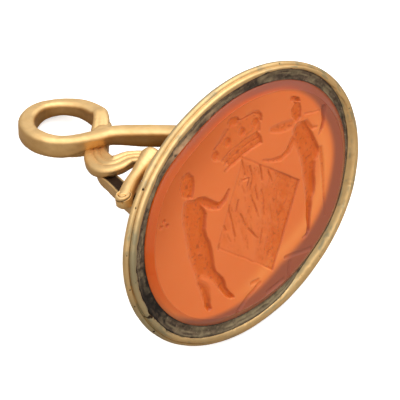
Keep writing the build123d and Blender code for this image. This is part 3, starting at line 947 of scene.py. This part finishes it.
# Places and engraving of the face on the square grid. Walls that look away from the light, on the
# right of each cut, and specks in the cuts are shaded.
def stoneFace():
    count = stone["cells"]
    u, v = np.meshgrid(np.linspace(-1, 1, count), np.linspace(-1, 1, count), indexing="ij")
    unit = np.stack([u * np.sqrt(1 - v * v / 2), v * np.sqrt(1 - u * u / 2)], -1)
    flat = halfSizes - stone["edge"] - stone["bevelWidth"]
    # the oval is stretched near its rim until it meets the stone's own outline
    outline = roundTable(stone["outline"], np.arctan2(unit[..., 1], unit[..., 0]))
    reach = np.linalg.norm(unit, axis=-1) ** 8
    spot = flat * unit - ((outline - stone["edge"]) * reach)[..., None] * unit
    turn = math.radians(device["turn"])
    off = spot - np.array([device["right"], -device["down"]])
    place = np.stack([off[..., 0] * math.cos(turn) + off[..., 1] * math.sin(turn),
                      off[..., 1] * math.cos(turn) - off[..., 0] * math.sin(turn)], -1)
    cut = engravedDepth(place)
    slopeX, slopeY = (np.gradient(cut, axis=k) / (2 * flat[k] / count) for k in (0, 1))
    shade = np.clip(0.13 * (0.21 * slopeY - 0.98 * slopeX), 0, 0.45)
    specks = softNoise(np.dstack([spot, 0 * cut]), 0.19, 7.3)
    shade = np.maximum(shade, 0.55 * np.clip(2.6 * specks - 0.9, 0, 1) * np.clip(2 * cut, 0, 1))
    return unit, spot, cut, shade


# Colour zones, a painted shade along the rim and a painted glow inside it and on the bevel at the low side,
# by how far in from the stone's edge a place lies and by the angle round it
def stoneZonesShadeAndGlow(places):
    around = np.arctan2(places[:, 1] / halfWidth, places[:, 0] / halfLength)
    degrees = np.degrees(around)
    ownHalf = halfSizes - roundTable(stone["outline"], around)[:, None]
    share = np.linalg.norm(places / ownHalf, axis=-1)
    depth = (1 - share) * np.linalg.norm(places, axis=-1) / np.maximum(share, 1e-6)
    reach = np.interp(degrees, *np.array(stone["rimShade"]).T)
    paintedRimShade = np.clip((reach - depth) / (0.35 + 0.25 * reach) + 0.5, 0, 1)
    paintedRimShade = paintedRimShade * paintedRimShade * (3 - 2 * paintedRimShade) * np.clip(reach / 0.6, 0, 1)
    at, spread, fade = stone["glowEdge"]
    lowSide = np.exp(-((degrees - at) / spread) ** 2)
    onBevel = stone["bevelWidth"] - depth
    edge = np.clip(onBevel / 0.08, 0, 1) * (1 - fade * lowSide)
    # painted glow just inside the rim's painted shade, and on the bevel at the low side
    glow = 0.6 * np.exp(-((depth - reach - 1.0) / 0.8) ** 2) * np.clip((reach - 1.2) / 0.8, 0, 1)
    glow = np.maximum(glow, 0.55 * lowSide * np.clip(onBevel / 0.3, 0, 1))
    deep = roundTable(stone["deepRim"], around) * np.exp(-(depth / 3.3) ** 2)
    return {"paintedRimShade": paintedRimShade, "edge": edge, "glow": glow, "deep": deep}


# The face's grid, then rings of (inset, level) over the bevel, down the side and in over the
# girdle, each as many points as the grid has round its edge, and a fan that closes the bottom
def makeStone():
    unit, spot, cut, shade = stoneFace()
    count = stone["cells"]
    index = np.arange(count * count).reshape(count, count)
    quads = [np.stack([index[:-1, :-1], index[1:, :-1], index[1:, 1:], index[:-1, 1:]], -1).reshape(-1, 4)]
    ring = np.concatenate([index[:-1, 0], index[-1, :-1], index[:0:-1, -1], index[0, :0:-1]])
    unit = unit.reshape(-1, 2)[ring]
    unit /= np.linalg.norm(unit, axis=-1, keepdims=True)
    around = np.arctan2(unit[:, 1], unit[:, 0])
    rimHalf = halfSizes - roundTable(stone["outline"], around)[:, None]
    at, spread, flatter = stone["flatBevel"]
    foot = stone["bevelFoot"] * (1 - flatter * np.exp(-((np.degrees(around) - at) / spread) ** 2))
    wide, top, girdle = stone["bevelWidth"], stone["face"], stone["girdle"]
    bottom = top - stone["thickness"]
    vertices = [np.dstack([spot, top - device["depth"] * cut]).reshape(-1, 3)]
    for inset, level in ((0.98 * wide, top - 0.012), (0.90 * wide, top + 0.111 * foot - 0.017),
                         (0.5 * wide, (top + foot) / 2 + 0.02), (0.06, foot + 0.05), (0.0, foot - 0.03),
                         (0.0, bottom + girdle), (girdle, bottom), (4.0, bottom)):
        after = sum(len(part) for part in vertices) + np.arange(len(ring))
        quads.append(np.stack([ring, np.roll(ring, -1), np.roll(after, -1), after], -1))
        vertices.append(np.concatenate([unit * (rimHalf - inset), (level + 0 * foot)[:, None]], -1))
        ring = after
    centre = sum(len(part) for part in vertices)
    fan = np.stack([np.full(len(ring), centre), ring, np.roll(ring, -1)], -1)
    vertices = np.concatenate(vertices + [[[0, 0, bottom]]])
    rest = np.zeros(len(vertices) - count * count)
    marks = {"carved": np.append(np.clip(1.35 * cut, 0, 1), rest), **stoneZonesShadeAndGlow(vertices[:, :2]),
             "shade": np.append(shade, rest)}
    return meshFromFaces("engraved_stone", vertices, np.concatenate(quads), fan, marks, stoneFinish)


engravedStone = makeStone()
print("stone built")

# Handle: straps, ring and rolled feet, swept with a rounded oblong section

handle = {
    "footReach": 5.3,
    "footLevel": 7.447,
    "footSide": 0.85,   # of the rolled feet from the handle's middle plane
    "ringReach": 22.3,
    "ringLine": 3.46,   # radius of the wire's middle line
    "ringWire": 1.32,
    "ringDepth": 1.6,
    "deeper": 0.36,     # added to the ring's depth on the side towards the bezel
    "worn": 0.30,       # and worn off it at 320 degrees
    "corner": 0.22,     # how far the ring's line stands out at 285 degrees
    "twist": -9.0,      # of the ring's plane, in degrees
    "reedEdges": (-1.0, -0.2, 0.3, 1.0),  # across the scroll, as shares of its half width
    "reed": 0.16,       # depth of the grooves between them
    "aside": 0.14,      # of the closing piece from the ring's wire
    # width and depth of each strap
    "front": (1.464, 1.65),
    "scroll": (2.45, 1.15),
    "back": (1.403, 1.65),
    # their routes: across, up and aside in shares, then shares of the width and depth
    "frontRows": [(1.0, 0.0, 0.16, 1.10, 1.12), (0.88, 0.20, 0.16, 1.0, 1.12), (0.71, 0.358, 0.18, 1.0, 1.11),
                  (0.45, 0.515, 0.18, 1.0, 1.10), (0.20, 0.640, 0.28, 1.05, 0.94),
                  (-0.06, 0.705, 0.33, 1.0, 0.84)],
    "scrollRows": [(-0.05, 0.715, -0.36, 0.72, 0.96), (-0.22, 0.670, -0.30, 0.84, 0.96),
                   (-0.40, 0.580, -0.08, 0.95, 0.98), (-0.51, 0.480, 0.18, 1.08, 0.86),
                   (-0.43, 0.415, 0.32, 0.94, 0.76), (-0.18, 0.397, 0.25, 0.80, 0.76),
                   (0.02, 0.345, 0.05, 0.74, 0.80), (0.06, 0.285, 0.0, 0.60, 0.78)],
    "backRows": [(-0.44, 0.545, 0.02, 0.50, 0.34), (-0.58, 0.480, -0.25, 0.84, 0.66),
                 (-0.67, 0.366, -0.27, 0.88, 0.85), (-0.76, 0.270, -0.24, 0.88, 0.90),
                 (-0.86, 0.170, -0.22, 0.92, 0.95), (-0.98, 0.0, -0.22, 1.08, 1.0)],
    # the ring: (angle in degrees, share of the wire, shift outwards in mm)
    "ringRows": [(130, 0.92, 0), (160, 1, 0), (190, 1.06, -0.04), (220, 1.12, -0.08), (250, 1.10, -0.07),
                 (280, 1, 0), (310, 1, -0.07), (340, 1.05, -0.17), (370, 1.11, -0.27), (395, 1.10, -0.32)],
    # the piece that closes it: (angle, share of the wire)
    "closingRows": [(34, 0.45), (46, 0.75), (58, 0.92), (70, 1), (90, 1), (110, 1), (130, 0.90),
                    (146, 0.72), (160, 0.40)],
    # rolled feet: (across, up, thickness), and their round ends: (distance, size) in ball sizes
    "longRoll": [(-1.11, 0.098, 1.40), (-0.74, 0.175, 1.22), (-0.50, 0.212, 1.20), (-0.28, 0.240, 1.45),
                 (-0.08, 0.262, 1.85)],
    "shortRoll": [(0.42, 0.232, 1.0), (0.68, 0.155, 1.1), (0.98, 0.045, 1.2)],
    "ballRows": [(0.25, 0.95), (0.45, 0.72), (0.56, 0.36), (0.58, 0.05)],
}
volute = {
    "radius": 0.75,
    "half": 0.575,   # half its thickness
    "turns": 2.0,
    "groove": 0.14,
    "rounding": 0.22,
}


# Shares of the handle's reach, height and depth made a place, from its feet up to the ring's centre
def inHandle(across, up, side):
    low = handle["footLevel"]
    level = -(low + up * (handle["ringReach"] - low))
    return np.array([across * handle["footReach"], side * handle["ringDepth"], level])


# What the ring's depth gains towards the bezel and loses where it is worn, as two soft bumps
def ringExtra(angle):
    gained = handle["deeper"] * math.exp(-((angle - 125) / 62) ** 2)
    return gained - handle["worn"] * math.exp(-((angle - 320) / 38) ** 2)


# A place on the ring's line, in its twisted plane; what its depth gains lies on one side of it
def onRing(angle, offset=0.0):
    turn, twist = math.radians(angle), math.radians(handle["twist"])
    line = handle["ringLine"] + offset + handle["corner"] * math.exp(-((angle - 285) / 32) ** 2)
    across = line * math.cos(turn)
    level = handle["ringReach"] - line * math.sin(turn)
    return np.array([across * math.cos(twist), across * math.sin(twist) - 0.5 * ringExtra(angle), -level])


# The section's outline: four rounded corners joined by flat faces, as shares of the half sizes
def sectionLoop(faceCount, sideCount, cornerCount):
    parts = []
    corners = ((1, 1, 0), (-1, 1, 90), (-1, -1, 180), (1, -1, 270))
    for k, (cx, cy, start) in enumerate(corners):
        nx, ny, _ = corners[(k + 1) % 4]
        for angle in np.radians(np.linspace(start, start + 90, cornerCount)):
            parts.append((cx, cy, math.cos(angle), math.sin(angle)))
        count = faceCount if k % 2 == 0 else sideCount
        unit = (0, cy) if k % 2 == 0 else (cx, 0)
        for t in np.linspace(0, 1, count + 2)[1:-1]:
            parts.append((cx + t * (nx - cx), cy + t * (ny - cy), *unit))
    return np.array(parts).T


# Centre + normal * w + depth * d, where normal = depth x tangent and the depth axis turns with the
# twist. The front face has reeds as arcs, a crown and a hollow, and noise makes the wire uneven.
def sweepStrap(name, route, count, loop, dirtAndShade):
    line = evenThrough(route, count)
    centre, (width, depth, corner, twist, reed, crown, hollow, *edgeShade) = line[:, :3], line[:, 3:].T
    tangent = np.gradient(centre, axis=0)
    tangent /= np.linalg.norm(tangent, axis=1, keepdims=True)
    turn = np.radians(twist)
    deep = np.stack([-np.sin(turn), np.cos(turn), 0 * turn], -1)
    normal = np.cross(deep, tangent)
    normal /= np.linalg.norm(normal, axis=1, keepdims=True)
    cx, cy, ux, uy = loop
    corner = np.minimum(corner, 0.98 * np.minimum(width, depth) / 2)
    w = cx * (width / 2 - corner)[:, None] + ux * corner[:, None]
    d = cy * (depth / 2 - corner)[:, None] + uy * corner[:, None]
    share = w / (width / 2)[:, None]
    front = np.clip(d / (depth / 2)[:, None], 0, 1) ** 2
    edges = np.array(handle["reedEdges"])
    cell = np.clip(np.searchsorted(edges, share, "right") - 1, 0, len(edges) - 2)
    across = (share - (edges[cell] + edges[cell + 1]) / 2) / ((edges[cell + 1] - edges[cell]) / 2)
    groove = 1 - np.sqrt(np.clip(1 - across ** 2, 0, 1))
    d = d - front * (reed[:, None] * groove + crown[:, None] * share ** 2
                     + hollow[:, None] * np.clip(1 - share ** 2, 0, 1))
    points = centre[:, None] + normal[:, None] * w[..., None] + deep[:, None] * d[..., None]
    lumps = softNoise(points, 1.7) * 0.03 + softNoise(points, 0.35, 9.0) * 0.008
    points += lumps[..., None] * (points - centre[:, None]) / (width[:, None, None] / 2)
    upward = d / (depth / 2)[:, None]
    grimeAndShade = dirtAndShade(line, share, upward, groove * front * (reed > 0.01)[:, None])
    # the edge sides and the underside are painted brown as shade
    plus, minus = (np.asarray(side)[:, None] for side in edgeShade)
    edge = np.clip((np.abs(share) - 0.80) / 0.15, 0, 1) * np.clip((1.05 - upward) / 0.35, 0, 1)
    brownPatinaAndShade = np.where(share > 0, plus, minus) * edge + 0.6 * np.maximum(plus, minus) * np.clip(-upward, 0, 1)
    return surfaceFromGrid(name, points, {"grimeAndShade": grimeAndShade, "brownPatinaAndShade": brownPatinaAndShade}, goldFinish)


# A row of a route: place, width, depth, corner radius, twist in degrees, reed height, crown
# height, hollow depth, and how much painted brown shade its two edges get
def strapRow(place, width, depth, corner=0.3, twist=0.0, reed=0.0, crown=0.05, hollow=0.0,
             plus=0.3, minus=0.3):
    return [*place, width, depth, corner, twist, reed, crown, hollow, plus, minus]


# Grime gathers in the grooves and towards the feet; the underside near the bezel is painted dark as shade
def handleDirtAndShade(line, share, upward, groove):
    nearFoot = np.clip((10.2 + line[:, 2]) / 3.0, 0, 1)[:, None]
    # painted shade on the underside near the bezel
    under = np.clip((15.5 + line[:, 2]) / 5.0, 0, 1)[:, None] * np.clip(0.9 - upward, 0, 1)
    edges = 0.5 * nearFoot * (np.abs(share) > 0.75)
    return np.clip(0.75 * groove ** 4 + edges + 1.1 * under * (share > 0.8), 0, 1)


# Painted shade in a hollow strap's front, darkest along its middle
def hollowShade(line, share, upward, groove):
    return np.clip((upward > 0.3) * (1 - share ** 4), 0, 1)


# One long wire: up the front strap, round the ring and down into the reeded scroll
def makeHandleWire():
    wire, deep, twist = handle["ringWire"], handle["ringDepth"], handle["twist"]
    (frontWide, frontDeep), (scrollWide, scrollDeep) = handle["front"], handle["scroll"]
    route = []
    for k, (across, up, side, w, d) in enumerate(handle["frontRows"]):
        # the front strap's plus edge is painted brown as shade, most near its foot
        route.append(strapRow(inHandle(across, up, side), w * frontWide, d * frontDeep, 0.46, crown=0.12,
                              plus=0.98 - 0.45 * k / 5))
    for angle, share, shift in handle["ringRows"]:
        route.append(strapRow(onRing(angle, shift), share * wire, share * deep + ringExtra(angle), 0.40,
                              twist, minus=0.55))
    for k, (across, up, side, w, d) in enumerate(handle["scrollRows"]):
        route.append(strapRow(inHandle(across, up, side), w * scrollWide, d * scrollDeep,
                              reed=handle["reed"] * (1 if k else 0.25), crown=0.0, plus=0.75, minus=0.25))
    return sweepStrap("handle_wire", route, 560, sectionLoop(60, 12, 8), handleDirtAndShade)


# The rest of the ring, tapered into the wire at both ends and set a little to one side
def makeRingClosing():
    route = []
    for angle, share in handle["closingRows"]:
        deep = 0.88 * share * (handle["ringDepth"] + ringExtra(angle))
        place = onRing(angle) - np.array([0, handle["aside"], 0])
        route.append(strapRow(place, share * handle["ringWire"], deep, 0.40 * share, handle["twist"]))
    return sweepStrap("ring_closing", route, 90, sectionLoop(20, 12, 8), handleDirtAndShade)


# The leg behind the front strap, hollow along its front, where the hollow is painted dark as shade
def makeBackLeg():
    wide, deep = handle["back"]
    route = [strapRow(inHandle(across, up, side), w * wide, d * deep, 0.25, crown=0.0, hollow=0.3, plus=0.5,
                      minus=0.25)
             for across, up, side, w, d in handle["backRows"]]
    return sweepStrap("back_leg", route, 160, sectionLoop(40, 12, 8), hollowShade)


# A side of the handle, or the same turned half round for its far side
def sideTurn(far):
    return np.array([-1, -1, 1]) if far else np.ones(3)


# A roll along part of its route, rounded at the ends that are given ball sizes
def makeRoll(name, far, rows, balls):
    side = handle["footSide"] / handle["ringDepth"]
    route = [strapRow(inHandle(across, up, side) * sideTurn(far), size, size, 0.60 * size, plus=0.15,
                      minus=0.55)
             for across, up, size in rows]
    for end, before, ball in zip((0, -1), (1, -2), balls):
        if ball:
            tip = np.array(route[end][:3])
            outward = tip - np.array(route[before][:3])
            outward /= np.linalg.norm(outward)
            caps = []
            for along, share in handle["ballRows"]:
                size = ball * share
                caps.append([*(tip + outward * along * ball), size, size, 0.6 * size, *route[end][6:]])
            route = caps[::-1] + route if end == 0 else route + caps
    return sweepStrap(name, route, 260, sectionLoop(14, 14, 12), handleDirtAndShade)


# Volute at the long roll's end: a disc on an axis along Y, whose face has a groove where the
# radius as a share of the turns, less the angle's share of a turn, is a half
def makeVolute(name, far):
    angle = np.linspace(0, 2 * math.pi, 96, endpoint=False)
    radius, half = volute["radius"], volute["half"]
    rows = []
    for share in np.linspace(0.02, 1, 40):
        spiral = (share * volute["turns"] - angle / (2 * math.pi)) % 1
        groove = np.exp(-((spiral - 0.5) / 0.13) ** 2)
        rounded = volute["rounding"] * np.clip((share - 0.8) / 0.2, 0, 1) ** 2
        rows.append((share, half - volute["groove"] * groove - rounded, 0.8 * groove))
    for share, level in ((1.0, 0.3), (1.0, 0), (1.0, -0.4), (0.8, -half), (0.4, -half), (0.02, -half)):
        rows.append((share, level + 0 * angle, 0.2 + 0 * angle))
    across, up, _ = handle["longRoll"][0]
    points = np.stack([np.stack([radius * share * np.cos(angle), level, radius * share * np.sin(angle)], -1)
                       for share, level, grimeAndShade in rows])
    points = (points + inHandle(across, up, handle["footSide"] / handle["ringDepth"])) * sideTurn(far)
    return surfaceFromGrid(name, points, {"grimeAndShade": np.stack([grimeAndShade for *_, grimeAndShade in rows])}, goldFinish)


handlePieces = [makeHandleWire(), makeRingClosing(), makeBackLeg(), makeVolute("front_volute", False),
                makeVolute("far_volute", True)]
for label, far in (("front", False), ("far", True)):
    handlePieces.append(makeRoll(label + "_long_roll", far, handle["longRoll"], (0, 1.95)))
    handlePieces.append(makeRoll(label + "_short_roll", far, handle["shortRoll"], (1.0, 0)))
print("handle built")

for piece in [goldBezel] + handlePieces:
    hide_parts("gold_mount")
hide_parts("carnelian")
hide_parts("stone_bedding")
for piece in [goldBezel, engravedStone, beddingFill] + handlePieces:
    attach(piece, "root")

# Floor, lights and camera

floorLook = {
    "seen": (0.9, 0.9, 0.9, 1),         # what the camera sees of the floor
    "lift": 0.55,                       # light added there, so that it comes out white with a faint shadow
    "mirrored": (0.33, 0.30, 0.26, 1),  # the darker bench that polished metal and stone mirror
}


# The floor is pale to the camera, and a darker bench to the rays that light and mirror in the seal
def makeFloorFinish():
    material, tree, shader = newMaterial("paleFloor")
    out = next(n for n in tree.nodes if n.type == "OUTPUT_MATERIAL")
    shader.inputs["Base Color"].default_value = floorLook["seen"]
    shader.inputs["Roughness"].default_value = 0.9
    shader.inputs["Emission Color"].default_value = (1, 1, 1, 1)
    shader.inputs["Emission Strength"].default_value = floorLook["lift"]
    bench = addNode(tree, "ShaderNodeBsdfDiffuse", Color=floorLook["mirrored"])
    choice = tree.nodes.new("ShaderNodeMixShader")
    tree.links.new(tree.nodes.new("ShaderNodeLightPath").outputs["Is Camera Ray"], choice.inputs[0])
    tree.links.new(bench.outputs[0], choice.inputs[1])
    tree.links.new(shader.outputs[0], choice.inputs[2])
    tree.links.new(choice.outputs[0], out.inputs["Surface"])
    return material


bpy.ops.mesh.primitive_plane_add(size=1.2, location=(0, 0, 0))
floor = bpy.context.active_object
floor.name = "floor"
floor.data.materials.append(makeFloorFinish())

studio = {
    "above": 1.08,   # brightness overhead
    "level": 0.64,   # and at the height of the bench
    "tint": (1.0, 0.985, 0.96, 1),
    # lights: (name, azimuth, elevation, distance and size in metres, power in watts)
    "lights": [("keyLight", 25, 58, 0.40, 0.46, 0.85), ("fillLight", 170, 50, 0.40, 0.46, 0.6)],
}


# A soft room, bright overhead and dimmer round the sides
def makeRoom():
    world = bpy.data.worlds.new("studio")
    bpy.context.scene.world = world
    world.use_nodes = True
    tree = world.node_tree
    backdrop = next(n for n in tree.nodes if n.type == "BACKGROUND")
    split = tree.nodes.new("ShaderNodeSeparateXYZ")
    tree.links.new(tree.nodes.new("ShaderNodeTexCoord").outputs["Generated"], split.inputs[0])
    height = ramp(tree, split.outputs["Z"], 0.05, 0.75, studio["level"], studio["above"])
    tree.links.new(height, backdrop.inputs["Strength"])
    backdrop.inputs["Color"].default_value = studio["tint"]


makeRoom()


# A soft square light at a direction and distance, aimed at the seal's middle
def addLight(name, azimuth, elevation, distance, size, power):
    data = bpy.data.lights.new(name, "AREA")
    data.shape = "RECTANGLE"
    data.size = size
    data.size_y = size
    data.energy = power
    light = bpy.data.objects.new(name, data)
    bpy.context.scene.collection.objects.link(light)
    a, e = math.radians(azimuth), math.radians(elevation)
    place = Vector((math.cos(a) * math.cos(e), math.sin(a) * math.cos(e), math.sin(e))) * distance
    light.location = place
    light.rotation_euler = (-place).to_track_quat("-Z", "Y").to_euler()


for row in studio["lights"]:
    addLight(*row)

view = {
    # the camera in the seal's axes: rows are right, up and towards the viewer
    "axes": np.array([
        [0.68943, -0.14595, 0.70950],
        [0.49157, 0.81369, -0.31028],
        [-0.53203, 0.56268, 0.63272],
    ]),
    "distance": 500.0,  # mm from the lip's centre
    "focus": 5936,      # focal length in pixels of the picture
    "picture": 400,     # its width in pixels
    "aim": (-48.3, 6.29),  # pixels from the lip's centre to the middle of the picture
    "sensor": 36,
}


# A camera whose forward axis is turned from the lip's centre by the aim, and its frame squared to that
def placeCamera():
    right, up, back = view["axes"]
    aimRight, aimUp = (part / view["focus"] for part in view["aim"])
    forward = -back + aimRight * right + aimUp * up
    forward /= np.linalg.norm(forward)
    level = right - (right @ forward) * forward
    level /= np.linalg.norm(level)
    turned = layMatrix @ np.stack([level, np.cross(level, forward), -forward]).T
    data = bpy.data.cameras.new("photoCamera")
    data.sensor_width = view["sensor"]
    data.lens = view["focus"] / view["picture"] * view["sensor"]
    data.clip_start = 0.01
    data.clip_end = 10
    camera = bpy.data.objects.new("photoCamera", data)
    place = Matrix.Translation(toFrame(view["distance"] * back))
    camera.matrix_world = place @ Matrix(turned.tolist()).to_4x4()
    bpy.context.scene.collection.objects.link(camera)
    bpy.context.scene.camera = camera


placeCamera()
bpy.context.scene.view_settings.view_transform = "Standard"
print("floor, lights and camera set")
